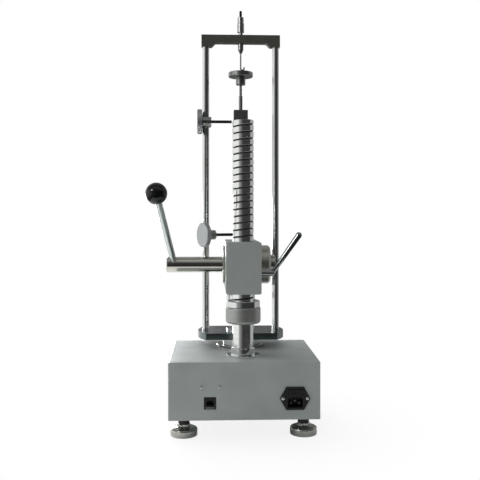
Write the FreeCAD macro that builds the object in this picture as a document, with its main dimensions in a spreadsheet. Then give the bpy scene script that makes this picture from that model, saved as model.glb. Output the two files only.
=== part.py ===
"""Manual spring tester: a bench machine that presses or pulls a spring by a hand lever.

A right-hand helical groove runs up the column, the head is clamped on that column, and a lever, pinion
and rack move the upper platen against the lower one. The lower platen, two rods and crossbar stand on
a load cell in the base.

Frame of the machine, in millimetres: +Z up from the floor, +X to the right seen from the rear, +Y from the
rear face towards the operator. Each piece is then moved by the same shift, which puts the origin under
the middle of the whole machine, on the floor.
"""
import FreeCAD, Part
import math
import os
import re
import Sketcher
from FreeCAD import Placement, Rotation, Vector

DIMENSIONS = {
    # base housing
    "base_width": 250,
    "base_depth": 250,
    "base_low": 31,
    "base_top": 126,
    "panel_back": 206,
    "panel_low": 60,
    "base_bend": 2.5,
    "sheet": 2,
    "floor_plate": 6,
    # levelling feet
    "foot_spacing_x": 200,
    "foot_back": 26,
    "foot_front": 224,
    "foot_diameter": 45,
    "foot_stud": 10,
    # column and what is on it
    "column_y": 55,
    "column_diameter": 36,
    "column_top": 529,
    "groove_pitch": 11.8,
    "groove_start": 180,
    "groove_depth": 1.7,
    "groove_width": 3.6,
    "flange_diameter": 56,
    "flange_hub": 42,
    "nut_diameter": 60,
    "nut_low": 182,
    "nut_high": 210,
    "thrust_ring_diameter": 57,
    "thrust_ring_low": 210.2,
    "thrust_ring_high": 220.4,
    # load axis
    "load_y": 160,
    "post_diameter": 66,
    "post_low": 105,
    "plate_low": 142,
    "plate_high": 154,
    "plate_diameter": 158,
    "plate_flats": 92,
    "platen_diameter": 53,
    "lower_platen_high": 157,
    "plate_screw_circle": 44,
    "rod_spacing": 130,
    "rod_diameter": 12.7,
    "rod_top": 695,
    "crossbar_length": 146,
    "crossbar_depth": 15,
    "crossbar_low": 687,
    "crossbar_high": 702,
    "crossbar_foot": 7,
    "crossbar_foot_width": 19,
    "hook_tip": 748,
    # head
    "head_width": 60,
    "head_low": 233,
    "head_high": 321,
    "head_back": 27,
    "head_front": 200,
    "shaft_y": 134.5,
    "shaft_z": 277,
    "shaft_diameter": 28,
    "journal_diameter": 20,
    "shaft_left": 135.5,
    "housing_diameter": 69.5,
    "housing_outer": 52,
    "hub_nut_diameter": 34,
    "hub_nut_outer": 61.6,
    # rack and pinion
    "gear_module": 1.5,
    "gear_teeth": 20,
    "pressure_angle": 20,
    "gear_backlash": 0.3,
    "pinion_face": 26,
    "rack_width": 26,
    "rack_depth": 24,
    "rack_low": 240,
    "rack_high": 562,
    "rack_teeth": 36,
    "upper_platen_low": 208,
    # hand lever
    "lever_entry_x": -121.6,
    "lever_diameter": 11,
    "ball_diameter": 36,
    "ball_x": -144.3,
    "ball_y": 5.5,
    "ball_z": 401.5,
    # head clamp lever
    "clamp_z": 267,
    "clamp_bend_x": 50,
    "clamp_tip_x": 96,
    "clamp_tip_z": 332,
    # top disc over the rack
    "thumb_disc_diameter": 45.5,
    "top_disc_low": 624.5,
    "top_disc_high": 633,
    # stop arms
    "stop_offset": 15,
    "stop_reach": 48,
    "stop_barrel": 17.5,
    "stop_arm_diameter": 5.4,
    "upper_stop_z": 539,
    "lower_stop_z": 330.7,
    "lower_stop_turn": 27,
    # rear sockets
    "inlet_x": 83,
    "inlet_z": 66,
    "port_x": -56.5,
    "port_z": 59,
    "port_width": 20,
}

SHIFT_X = "(ball_diameter / 2 - ball_x - base_width / 2) / 2"
SHIFT_Y = "(ball_diameter / 2 - ball_y - base_depth) / 2"
SMALL = 1e-3
WORD = re.compile(r"[a-z][a-z_0-9]*")
PIECES = []

doc = FreeCAD.newDocument("SpringTester")
sheet = doc.addObject("Spreadsheet::Sheet", "Dimensions")
for row, (alias, size) in enumerate(DIMENSIONS.items(), start=1):
    sheet.set(f"A{row}", alias)
    sheet.set(f"B{row}", str(size))
    sheet.setAlias(f"B{row}", alias)
doc.recompute()


def cells(text):
    """The expression with each dimension's name pointing at its cell."""
    return WORD.sub(lambda m: f"Dimensions.{m.group()}" if m.group() in DIMENSIONS else m.group(), str(text))


def number(text):
    """The expression's present value."""
    return float(sheet.evalExpression(cells(text)))


def bind(thing, prop, text):
    thing.setExpression(prop, cells(text))


def place(piece, at=(0, 0, 0), turn=None):
    """Put a finished piece in the machine, and list it for export."""
    if turn:
        piece.Placement = Placement(Vector(), turn)
    bind(piece, "Placement.Base.x", f"({at[0]}) + {SHIFT_X}")
    bind(piece, "Placement.Base.y", f"({at[1]}) + {SHIFT_Y}")
    bind(piece, "Placement.Base.z", at[2])
    PIECES.append(piece)
    return piece


def new_body(label):
    body = doc.addObject("PartDesign::Body", label)
    body.Label = label
    return body


def new_sketch(body, plane, offset=0):
    sketch = body.newObject("Sketcher::SketchObject", body.Label + "_sketch")
    origin_plane = next(f for f in body.Origin.OriginFeatures if f.Role == plane + "_Plane")
    sketch.AttachmentSupport = (origin_plane, "")
    sketch.MapMode = "FlatFace"
    bind(sketch, "AttachmentOffset.Base.z", offset)
    return sketch


def hold_point(sketch, line, end, x, y):
    """Fix one point of the sketch to the expressions x and y."""
    for kind, text in (("DistanceX", x), ("DistanceY", y)):
        index = sketch.addConstraint(Sketcher.Constraint(kind, -1, 1, line, end, number(text)))
        bind(sketch, f"Constraints[{index}]", text)


def draw_outline(sketch, points):
    """Closed outline of straight lines through points given as pairs of expressions."""
    first = sketch.GeometryCount
    count = len(points)
    values = [Vector(number(x), number(y), 0) for x, y in points]
    for i in range(count):
        sketch.addGeometry(Part.LineSegment(values[i], values[(i + 1) % count]), False)
    for i in range(count):
        sketch.addConstraint(Sketcher.Constraint("Coincident", first + i, 2, first + (i + 1) % count, 1))
    for i, (x, y) in enumerate(points):
        hold_point(sketch, first + i, 1, x, y)


def draw_circle(sketch, x, y, radius):
    line = sketch.addGeometry(Part.Circle(Vector(number(x), number(y), 0), Vector(0, 0, 1), number(radius)))
    hold_point(sketch, line, 3, x, y)
    index = sketch.addConstraint(Sketcher.Constraint("Radius", line, number(radius)))
    bind(sketch, f"Constraints[{index}]", radius)


def draw(sketch, shapes):
    """Shapes are outlines, as lists of points, or circles, as tuples x, y, radius."""
    for shape in shapes:
        if isinstance(shape, tuple):
            draw_circle(sketch, *shape)
        else:
            draw_outline(sketch, shape)


def rectangle(x0, x1, y0, y1):
    return [(x0, y0), (x1, y0), (x1, y1), (x0, y1)]


def pad(body, plane, shapes, low, high):
    """Material from low to high along the plane's axis. The XZ plane's normal points to -Y."""
    sketch = new_sketch(body, plane, f"-({high})" if plane == "XZ" else low)
    draw(sketch, shapes)
    feature = body.newObject("PartDesign::Pad", body.Label + "_pad")
    feature.Profile = sketch
    bind(feature, "Length", f"({high}) - ({low})")
    doc.recompute()
    return feature


def pocket(body, plane, shapes, low, high):
    """Cut from low to high along the plane's axis."""
    sketch = new_sketch(body, plane, f"-({low})" if plane == "XZ" else high)
    draw(sketch, shapes)
    before = body.Shape.Volume
    feature = body.newObject("PartDesign::Pocket", body.Label + "_pocket")
    feature.Profile = sketch
    bind(feature, "Length", f"({high}) - ({low})")
    doc.recompute()
    if body.Shape.Volume > before - SMALL:
        raise RuntimeError(f"{body.Label}: a pocket cuts nothing")
    return feature


def turned(label, outline):
    """Body of revolution about its own Z, from an outline of (radius, height) points."""
    body = new_body(label)
    sketch = new_sketch(body, "XZ")
    draw_outline(sketch, outline)
    feature = body.newObject("PartDesign::Revolution", label + "_turning")
    feature.Profile = sketch
    feature.ReferenceAxis = (sketch, ["V_Axis"])
    feature.Angle = 360
    doc.recompute()
    return body


def soften(body, size, test, kind="Fillet"):
    """Fillet or chamfer the edges of the body that pass the test."""
    edges = [f"Edge{i}" for i, edge in enumerate(body.Shape.Edges, start=1) if test(edge)]
    if not edges:
        raise RuntimeError(f"{body.Label}: no edge to soften")
    feature = body.newObject(f"PartDesign::{kind}", f"{body.Label}_{kind}")
    feature.Base = (body.Tip if body.Tip != feature else feature.BaseFeature, edges)
    bind(feature, "Radius" if kind == "Fillet" else "Size", size)
    doc.recompute()


def rim(radius, height):
    """Test for the round edge of that radius at that height on a turned body."""
    r, z = number(radius), number(height)

    def test(edge):
        curve = edge.Curve
        return (isinstance(curve, Part.Circle) and abs(curve.Radius - r) < SMALL
                and abs(curve.Center.z - z) < SMALL)
    return test


def along(axis):
    """Test for straight edges that run along the axis, 0, 1 or 2."""
    def test(edge):
        box = edge.BoundBox
        spans = [box.XLength, box.YLength, box.ZLength]
        length = spans.pop(axis)
        return length > SMALL and max(spans) < SMALL
    return test


def repeat_round(body, feature, count):
    """Repeat a feature evenly about the body's Z axis."""
    pattern = body.newObject("PartDesign::PolarPattern", body.Label + "_pattern")
    pattern.Originals = [feature]
    axis = next(f for f in body.Origin.OriginFeatures if f.Role == "Z_Axis")
    pattern.Axis = (axis, [""])
    pattern.Angle = 360
    pattern.Occurrences = count
    body.Tip = pattern
    doc.recompute()


def cylinder(name, radius, height, at, turn=None):
    """A plain cylinder from at along its own Z, in the machine's frame."""
    solid = doc.addObject("Part::Cylinder", name)
    bind(solid, "Radius", radius)
    bind(solid, "Height", height)
    return settle(solid, at, turn)


def box(name, size, at, turn=None):
    """A box with its lowest corner at the point at."""
    solid = doc.addObject("Part::Box", name)
    for side, text in zip(("Length", "Width", "Height"), size):
        bind(solid, side, text)
    return settle(solid, at, turn)


def settle(solid, at, turn):
    """Place a primitive that later joins or cuts another."""
    if turn:
        solid.Placement = Placement(Vector(), turn)
    for letter, text in zip("xyz", at):
        bind(solid, f"Placement.Base.{letter}", text)
    return solid


def cut(label, base, tools):
    """The base less the tools, not yet placed."""
    result = base
    for i, tool in enumerate(tools, start=1):
        step = doc.addObject("Part::Cut", label if i == len(tools) else f"{label}_cut_{i}")
        step.Base = result
        step.Tool = tool
        result = step
    result.Label = label
    return result


def fuse(label, solids):
    result = doc.addObject("Part::MultiFuse", label)
    result.Shapes = solids
    result.Refine = True
    result.Label = label
    return result


def group(label, solids):
    """Separate solids under one name, for identical fasteners and the like."""
    result = doc.addObject("Part::Compound", label)
    result.Links = solids
    result.Label = label
    return result


ALONG_X = Rotation(Vector(0, 1, 0), 90)
ALONG_REAR = Rotation(Vector(1, 0, 0), 90)


def build_base_cover():
    """Folded sheet housing: flat top, sloping control panel, open underneath, holes for what it carries."""
    body = new_body("cover_shell")
    profile = [("0", "base_low"), ("0", "base_top"), ("panel_back", "base_top"),
               ("base_depth", "panel_low"), ("base_depth", "base_low")]
    pad(body, "YZ", [profile], "-base_width / 2", "base_width / 2")
    low = number("base_low")
    soften(body, "base_bend", lambda edge: edge.BoundBox.ZMax > low + SMALL)
    slope = "atan((base_top - panel_low) / (base_depth - panel_back))"
    hollow = [("sheet", "base_low"), ("sheet", "base_top - sheet"),
              (f"panel_back - sheet * tan({slope} / 2)", "base_top - sheet"),
              ("base_depth - sheet", f"panel_low - sheet * tan(45 deg - {slope} / 2)"),
              ("base_depth - sheet", "base_low")]
    pocket(body, "YZ", [hollow], "sheet - base_width / 2", "base_width / 2 - sheet")
    pocket(body, "XY", [("0", "column_y", "column_diameter / 2 + 0.3"), ("0", "load_y", "post_diameter / 2 + 2")],
           "base_top - 3 * sheet", "base_top")
    inlet = rectangle("inlet_x - 14.2", "inlet_x + 14.2", "inlet_z - 16.5", "inlet_z + 16.5")
    port = rectangle("port_x - port_width / 2", "port_x + port_width / 2",
                     "port_z - port_width / 2", "port_z + port_width / 2")
    screws = [(f"inlet_x + {side * 20}", "inlet_z", "1.6") for side in (-1, 1)]
    screws += [(x, "85.4", "1.5") for x in ("-70.6", "-41.5")]
    pocket(body, "XZ", [inlet, port] + screws, "0", "2 * sheet")
    window = panel_box("panel_window_cut", ("70", "32", "12"), (-98, -13, -9))
    return place(cut("base_cover", body, [window]))


def panel_frame():
    """Middle of the sloping panel: own X to the operator's right, own Y up the slope, own Z out of it."""
    across = Vector(-1, 0, 0)
    slope = Vector(0, number("panel_back - base_depth"), number("base_top - panel_low")).normalize()
    middle = Vector(0, number("(panel_back + base_depth) / 2"), number("(base_top + panel_low) / 2"))
    return Placement(middle, Rotation(across, slope, across.cross(slope), "ZXY"))


def panel_box(name, size, corner):
    """A box laid on the panel, from its lowest corner in the panel's own frame."""
    solid = doc.addObject("Part::Box", name)
    for side, text in zip(("Length", "Width", "Height"), size):
        bind(solid, side, text)
    solid.Placement = panel_frame() * Placement(Vector(*corner), Rotation())
    return solid


def build_base():
    build_base_cover()
    half = "base_width / 2 - sheet"
    body = new_body("base_plate")
    pad(body, "XY", [rectangle(f"-({half})", half, "sheet", "base_depth - sheet")],
        "base_low", "base_low + floor_plate")
    soften(body, "base_bend", along(2), "Chamfer")
    feet = [(x, y, "foot_stud / 2 + 0.05") for x in ("-foot_spacing_x / 2", "foot_spacing_x / 2")
            for y in ("foot_back", "foot_front")]
    pocket(body, "XY", feet, "base_low", "base_low + floor_plate")
    place(body)


def build_feet():
    """Four levelling feet: a domed pad and a hexagon-headed stud that screws into the floor plate."""
    number_of_foot = 0
    for y in ("foot_back", "foot_front"):
        for x in ("-foot_spacing_x / 2", "foot_spacing_x / 2"):
            number_of_foot += 1
            label = f"levelling_foot_{number_of_foot}"
            pad_body = turned(f"{label}_pad", [
                ("0", "0"), ("foot_diameter / 2 - 1", "0"), ("foot_diameter / 2", "1"),
                ("foot_diameter / 2", "9"), ("foot_diameter / 2 - 1", "10.5"), ("15", "14"), ("9.5", "17"),
                ("0", "17")])
            stud = cylinder(f"{label}_stud", "foot_stud / 2", "25", ("0", "0", "17"))
            hexagon = doc.addObject("Part::Prism", f"{label}_hexagon")
            hexagon.Polygon = 6
            hexagon.Circumradius = 11
            hexagon.Height = 8
            settle(hexagon, ("0", "0", "20"), None)
            screw = fuse(f"{label}_screw", [stud, hexagon])
            washer = cut(f"{label}_washer", cylinder(f"{label}_disc", "10.5", "2.8", ("0", "0", "28.1")),
                         [cylinder(f"{label}_bore", "foot_stud / 2 + 0.02", "4", ("0", "0", "28"))])
            place(group(label, [pad_body, screw, washer]), (x, y, "0"))


def build_column():
    """Grooved column in its flange, with the ring nut and thrust ring on it."""
    foot = "base_low + floor_plate"
    length = f"column_top - ({foot})"
    column = turned("column", [("0", "0"), ("column_diameter / 2", "0"),
                               ("column_diameter / 2", f"{length} - 1"),
                               ("column_diameter / 2 - 1", length), ("0", length)])
    groove = new_sketch(column, "XZ")
    start = f"groove_start - ({foot})"
    draw_outline(groove, [("column_diameter / 2 + 0.4", f"{start} - groove_width / 2 - 0.3"),
                          ("column_diameter / 2 + 0.4", f"{start} + groove_width / 2 + 0.3"),
                          ("column_diameter / 2 - groove_depth", start)])
    thread = column.newObject("PartDesign::SubtractiveHelix", "column_groove")
    thread.Profile = groove
    thread.ReferenceAxis = (groove, ["V_Axis"])
    thread.Mode = 0
    bind(thread, "Pitch", "groove_pitch")
    bind(thread, "Height", "column_top + groove_width - groove_start")
    doc.recompute()
    place(column, ("0", "column_y", foot))

    bore = "column_diameter / 2 + 0.02"
    flange = turned("column_flange", [
        (bore, "0"), ("flange_diameter / 2", "0"), ("flange_diameter / 2", "2.5"),
        ("flange_diameter / 2 - 0.5", "3"), ("flange_hub / 2", "3"), ("flange_hub / 2", "14"),
        ("flange_hub / 2 - 1", "15"), (bore, "15")])
    place(flange, ("0", "column_y", "base_top"))

    running = "column_diameter / 2 + 0.08"
    nut = turned("ring_nut", [(running, "nut_low"), ("nut_diameter / 2", "nut_low"),
                              ("nut_diameter / 2", "nut_high"), (running, "nut_high")])
    soften(nut, "5", rim("nut_diameter / 2", "nut_low"))
    soften(nut, "3", rim("nut_diameter / 2", "nut_high"))
    place(nut, ("0", "column_y", "0"))
    lock = turned("thrust_ring", [(running, "thrust_ring_low"), ("thrust_ring_diameter / 2", "thrust_ring_low"),
                                ("thrust_ring_diameter / 2", "thrust_ring_high"), (running, "thrust_ring_high")])
    soften(lock, "0.8", rim("thrust_ring_diameter / 2", "thrust_ring_high"), "Chamfer")
    place(lock, ("0", "column_y", "0"))


def build_load_frame():
    """What stands on the load cell: post, plate, platen, two rods, crossbar and the hanging hook."""
    collar = turned("post_collar", [("post_diameter / 2 + 2", "0"), ("44.5", "0"), ("44.5", "1.5"), ("44", "2"),
                                    ("post_diameter / 2 + 2", "2")])
    place(collar, ("0", "load_y", "base_top"))
    post = turned("load_post", [("0", "post_low"), ("post_diameter / 2", "post_low"),
                                ("post_diameter / 2", "plate_low"), ("0", "plate_low")])
    place(post, ("0", "load_y", "0"))

    cell = new_body("load_cell")
    pad(cell, "XZ", [rectangle("-25", "25", "45", "post_low")], "-10", "10")
    pocket(cell, "XZ", [rectangle("-25", "13", "58", "61"), rectangle("-13", "25", "89", "92"), ("0", "75", "8")],
           "-10", "10")
    place(cell, ("0", "load_y", "0"))
    bracket = new_body("load_cell_bracket")
    pad(bracket, "XY", [rectangle("-35", "35", "-30", "30")], "base_low + floor_plate", "45")
    soften(bracket, "5", along(2), "Chamfer")
    place(bracket, ("0", "load_y", "0"))

    plate = new_body("lower_plate")
    pad(plate, "XY", [("0", "0", "plate_diameter / 2")], "plate_low", "plate_high")
    pocket(plate, "XY", [rectangle("-plate_diameter", "plate_diameter", "plate_flats / 2", "plate_diameter"),
                         rectangle("-plate_diameter", "plate_diameter", "-plate_diameter", "-plate_flats / 2")],
           "plate_low", "plate_high")
    pocket(plate, "XY", [(f"{side} * rod_spacing / 2", "0", "rod_diameter / 2") for side in ("-1", "1")],
           "plate_low", "plate_high")
    screw_hole = pocket(plate, "XY", [("plate_screw_circle / 2", "0", "3.1")], "plate_high - 4", "plate_high")
    repeat_round(plate, screw_hole, 6)
    place(plate, ("0", "load_y", "0"))

    platen = turned("lower_platen", [("0", "plate_high"), ("platen_diameter / 2", "plate_high"),
                                     ("platen_diameter / 2", "lower_platen_high - 0.5"),
                                     ("platen_diameter / 2 - 0.5", "lower_platen_high"),
                                     ("0", "lower_platen_high")])
    screw_hole = pocket(platen, "XY", [("plate_screw_circle / 2", "0", "3.1")], "plate_high",
                        "lower_platen_high")
    repeat_round(platen, screw_hole, 6)
    place(platen, ("0", "load_y", "0"))

    heads = []
    for i in range(6):
        angle = math.radians(60 * i)
        heads.append(cylinder(f"plate_screw_{i + 1}", "3", "6", (
            f"plate_screw_circle / 2 * {math.cos(angle):.6f}", f"plate_screw_circle / 2 * {math.sin(angle):.6f}",
            "plate_high - 4")))
    place(group("plate_screws", heads), ("0", "load_y", "0"))

    for label, side in (("left_rod", "-1"), ("right_rod", "1")):
        rod = turned(label, [("0", "plate_low"), ("rod_diameter / 2", "plate_low"),
                             ("rod_diameter / 2", "rod_top"), ("0", "rod_top")])
        place(rod, (f"{side} * rod_spacing / 2", "load_y", "0"))

    bar = new_body("crossbar")
    half = "crossbar_length / 2"
    inner = f"({half} - crossbar_foot_width)"
    foot_low = "crossbar_low - crossbar_foot"
    pad(bar, "XZ", [[(f"-{half}", foot_low), (f"-{inner}", foot_low),
                     (f"-{inner} + crossbar_foot", "crossbar_low"),
                     (f"{inner} - crossbar_foot", "crossbar_low"), (inner, foot_low), (half, foot_low),
                     (half, "crossbar_high"), (f"-{half}", "crossbar_high")]],
        "-crossbar_depth / 2", "crossbar_depth / 2")
    pocket(bar, "XY", [(f"{side} * rod_spacing / 2", "0", "rod_diameter / 2") for side in ("-1", "1")],
           foot_low, "rod_top")
    pocket(bar, "XY", [("0", "0", "2.55")], "crossbar_low", "crossbar_high")
    soften(bar, "0.6", lambda edge: edge.BoundBox.ZMin > number("crossbar_high") - SMALL
           and not isinstance(edge.Curve, Part.Circle), "Chamfer")
    place(bar, ("0", "load_y", "0"))


def build_hook():
    """Threaded stud through the crossbar, nut and sleeve on top, chuck and wire hook under it."""
    at = ("0", "load_y", "0")
    stud = turned("hook_stud", [("0", "680"), ("2.5", "680"), ("2.5", "hook_tip - 0.6"), ("1.9", "hook_tip"),
                                ("0", "hook_tip")])
    place(stud, at)
    sleeve = turned("hook_sleeve", [
        ("2.52", "crossbar_high + 0.2"), ("4", "crossbar_high + 0.2"), ("4", "708"), ("6.5", "708"),
        ("6.5", "723.8"), ("5.8", "724.5"), ("2.52", "724.5")])
    place(sleeve, at)
    nut = turned("hook_nut", [("2.52", "724.6"), ("5.75", "724.6"), ("5.75", "735"), ("5", "736"), ("2.52", "736")])
    place(nut, at)
    chuck = turned("hook_chuck", [
        ("1.42", "668.7"), ("2.4", "668.7"), ("5.25", "675"), ("5.25", "crossbar_low - 0.2"),
        ("2.52", "crossbar_low - 0.2"), ("2.52", "679.9"), ("1.42", "679.9")])
    place(chuck, at)

    wire = new_body("hook_wire")
    route = new_sketch(wire, "XZ")
    radius = 3.2
    route.addGeometry(Part.LineSegment(Vector(0, 679.8, 0), Vector(0, 641, 0)), False)
    sweep = Part.Circle(Vector(radius, 641, 0), Vector(0, 0, 1), radius)
    route.addGeometry(Part.ArcOfCircle(sweep, math.pi, 2 * math.pi + 0.7), False)
    section = new_sketch(wire, "XY", "679.8")
    draw_circle(section, "0", "0", "1.4")
    pipe = wire.newObject("PartDesign::AdditivePipe", "hook_bend")
    pipe.Profile = section
    pipe.Spine = (route, ["Edge1", "Edge2"])
    doc.recompute()
    place(wire, at)


def build_stop(label, height, turn):
    """Clamp on the left rod: a barrel beside the rod, a yoke round the rod, an arm and a thumb disc."""
    body = new_body(f"{label}_clamp")
    reach = "stop_offset"
    barrel = "stop_barrel / 2"
    pad(body, "YZ", [(f"-{reach}", "0", barrel)], "-5", "10.5")
    pad(body, "XY", [rectangle("-5", "9", f"-{reach}", "10")], f"-({barrel}) + 1", f"{barrel} - 1")
    pocket(body, "XY", [("0", "0", "rod_diameter / 2 + 0.05")], f"-{barrel}", barrel)
    pocket(body, "YZ", [(f"-{reach}", "0", "3.02")], "-5", "0")
    pocket(body, "YZ", [(f"-{reach}", "0", "stop_arm_diameter / 2 + 0.02")], "0.5", "10.5")
    at = ("-rod_spacing / 2", "load_y", height)
    place(body, at, turn)

    arm = new_body(f"{label}_arm")
    pad(arm, "YZ", [(f"-{reach}", "0", "stop_arm_diameter / 2")], "0.6", "stop_reach")
    soften(arm, "0.5", lambda edge: edge.BoundBox.XMin > number("stop_reach") - SMALL, "Chamfer")
    place(arm, at, turn)

    disc = "thumb_disc_diameter / 2"
    screw = turned(f"{label}_thumb_screw", [
        ("0", "0"), (f"{disc} - 0.8", "0"), (disc, "0.8"), (disc, "7.7"), (f"{disc} - 0.8", "8.5"),
        ("13", "8.5"), ("8.5", "10"), ("2.95", "10"), ("2.95", "14.8"), ("0", "14.8")])
    origin = turn.multVec(Vector(number("-15.2"), -number("stop_offset"), 0))
    place(screw, (f"-rod_spacing / 2 + {origin.x:.5f}", f"load_y + {origin.y:.5f}", height),
          turn.multiply(ALONG_X))


def build_head():
    """Head block on the column, with bushes, guides, rear flange and the return spring's housing."""
    head = new_body("head_arm")
    half = "head_width / 2"
    pad(head, "XZ", [rectangle(f"-{half}", half, "head_low", "head_high")], "head_back", "head_front")
    soften(head, "3.5", along(1))
    soften(head, "1.2", lambda edge: edge.BoundBox.YMax < number("head_back") + SMALL
           or edge.BoundBox.YMin > number("head_front") - SMALL)
    pocket(head, "XY", [("0", "column_y", "column_diameter / 2 + 0.06")], "head_low", "head_high")
    clear = "0.1"
    pocket(head, "XY", [rectangle(f"-rack_width / 2 - {clear}", f"rack_width / 2 + {clear}",
                                  f"load_y - rack_depth / 2 - {clear}", f"load_y + rack_depth / 2 + {clear}")],
           "head_low", "head_high")
    pocket(head, "YZ", [("shaft_y", "shaft_z", "14")], f"-{half}", "-14")
    pocket(head, "YZ", [("shaft_y", "shaft_z", "18")], "-14", half)
    pocket(head, "YZ", [("column_y", "clamp_z", "4.06")], "15", half)
    place(head)

    at = ("0", "shaft_y", "shaft_z")
    bore = "journal_diameter / 2 + 0.04"
    left = turned("left_bush", [(bore, "-30"), ("14", "-30"), ("14", "-14.2"), (bore, "-14.2")])
    place(left, at, ALONG_X)
    right = turned("right_bush", [(bore, "15"), ("18", "15"), ("18", "30"), (bore, "30")])
    place(right, at, ALONG_X)
    flange = turned("shaft_flange", [(bore, "-33.5"), ("33.5", "-33.5"), ("34", "-33"), ("34", "-30"), (bore, "-30")])
    place(flange, at, ALONG_X)

    outer = "housing_diameter / 2"
    housing = turned("spring_housing", [
        (bore, "housing_outer"), (f"{outer} - 3.5", "housing_outer"), (outer, "housing_outer - 3.5"),
        (outer, "30"), (f"{outer} - 3.5", "30"), (f"{outer} - 3.5", "housing_outer - 4"),
        (bore, "housing_outer - 4")])
    place(housing, at, ALONG_X)
    build_return_spring()


def build_return_spring():
    """Flat spiral strip between the shaft and its housing, in short straight lengths."""
    turns, step = 4, 30
    inner, outer = number("journal_diameter / 2 + 1.5"), number("housing_diameter / 2 - 4.2")
    thickness = 0.9
    steps = turns * 360 // step
    near, far = [], []
    for i in range(steps + 1):
        angle = math.radians(i * step)
        radius = inner + (outer - inner - thickness) * i / steps
        near.append(Vector(radius * math.cos(angle), radius * math.sin(angle), 0))
        far.append(Vector((radius + thickness) * math.cos(angle), (radius + thickness) * math.sin(angle), 0))
    outline = near + far[::-1] + near[:1]
    strip = doc.addObject("Part::Feature", "return_spring")
    strip.Label = "return_spring"
    strip.Shape = Part.Face(Part.makePolygon(outline)).extrude(Vector(0, 0, 13))
    place(strip, ("33", "shaft_y", "shaft_z"), ALONG_X)


def involute_point(base_radius, roll, start):
    """Point of the involute of a circle after unrolling by the angle roll."""
    radius = base_radius * math.sqrt(1 + roll * roll)
    angle = start + roll - math.atan(roll)
    return radius, angle


def build_pinion():
    """Spur pinion with true involute flanks, one tooth towards the rack."""
    module, teeth = number("gear_module"), int(number("gear_teeth"))
    pressure = math.radians(number("pressure_angle"))
    pitch_radius = module * teeth / 2
    base_radius = pitch_radius * math.cos(pressure)
    tip_radius = pitch_radius + module - 0.1
    root_radius = pitch_radius - 1.25 * module
    tooth_angle = 2 * math.pi / teeth
    half_tooth = (math.pi * module / 2 - number("gear_backlash") / 2) / 2 / pitch_radius
    involute_at_pitch = math.tan(pressure) - pressure
    roll_tip = math.sqrt((tip_radius / base_radius) ** 2 - 1)
    rolls = [0, roll_tip * 0.4, roll_tip * 0.7, roll_tip]
    flank = [involute_point(base_radius, roll, 0) for roll in rolls]
    outline = []
    for tooth in range(teeth):
        middle = tooth * tooth_angle
        rise = [(root_radius, -half_tooth - involute_at_pitch - 0.01)]
        rise += [(radius, angle - half_tooth - involute_at_pitch) for radius, angle in flank]
        for radius, angle in rise + [(radius, -angle) for radius, angle in reversed(rise)]:
            outline.append(Vector(radius * math.cos(middle + angle), radius * math.sin(middle + angle), 0))
    outline.append(outline[0])
    face = number("pinion_face")
    blank = Part.Face(Part.makePolygon(outline)).extrude(Vector(0, 0, face))
    bore = Part.makeCylinder(number("journal_diameter / 2"), face)
    pinion = doc.addObject("Part::Feature", "pinion")
    pinion.Label = "pinion"
    pinion.Shape = blank.cut(bore)
    # its own X is turned to the rack's side, +Y of the machine
    place(pinion, ("-pinion_face / 2", "shaft_y", "shaft_z"),
          ALONG_X.multiply(Rotation(Vector(0, 0, 1), 90)))


def build_lever():
    """Drive shaft, pinion, hand lever with ball, and the nut on the shaft's right end."""
    pivot = ("0", "shaft_y", "shaft_z")
    journal, thick = "journal_diameter / 2", "shaft_diameter / 2"
    blank = turned("shaft_blank", [
        ("0", "-shaft_left"), (f"{thick} - 1", "-shaft_left"), (thick, "1 - shaft_left"), (thick, "-34"),
        (journal, "-34"), (journal, "housing_outer + 0.3"), ("8", "housing_outer + 0.3"),
        ("8", "hub_nut_outer - 1"), ("0", "hub_nut_outer - 1")])
    settle(blank, pivot, ALONG_X)
    entry = Vector(number("lever_entry_x"), number("shaft_y"), number("shaft_z"))
    ball = Vector(number("ball_x"), number("ball_y"), number("ball_z"))
    reach = ball - entry
    tilt = Rotation(Vector(0, 0, 1), reach)
    entry_cells = ("lever_entry_x", "shaft_y", "shaft_z")
    hole = cylinder("lever_hole", "lever_diameter / 2", "40", entry_cells, tilt)
    place(cut("drive_shaft", blank, [hole]))
    build_pinion()

    radius = "lever_diameter / 2"
    ball_low = f"{reach.Length:.4f} - ball_diameter / 2 + 1"
    lever = turned("hand_lever", [("0", "0"), (radius, "0"), (radius, ball_low), ("4", ball_low),
                                  ("4", f"{ball_low} + 12"), ("0", f"{ball_low} + 12")])
    place(lever, entry_cells, tilt)
    sphere = doc.addObject("Part::Sphere", "ball_form")
    bind(sphere, "Radius", "ball_diameter / 2")
    settle(sphere, ("0", "0", f"{reach.Length:.4f}"), None)
    seat = cylinder("ball_seat_cut", "20", "20", ("0", "0", f"{ball_low} - 20"))
    socket = cylinder("ball_socket_cut", "4", "12", ("0", "0", ball_low))
    place(cut("ball_knob", sphere, [seat, socket]), entry_cells, tilt)

    nut = turned("hub_nut_blank", [("8", "housing_outer + 0.3"), ("hub_nut_diameter / 2", "housing_outer + 0.3"),
                             ("hub_nut_diameter / 2", "hub_nut_outer - 1"),
                             ("hub_nut_diameter / 2 - 1", "hub_nut_outer"), ("0", "hub_nut_outer"),
                             ("0", "hub_nut_outer - 1"), ("8", "hub_nut_outer - 1")])
    settle(nut, pivot, ALONG_X)
    tommy = cylinder("tommy_hole", "2", "8", ("57", "shaft_y - hub_nut_diameter / 2 + 7", "shaft_z"), ALONG_REAR)
    place(cut("hub_nut", nut, [tommy]))


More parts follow.
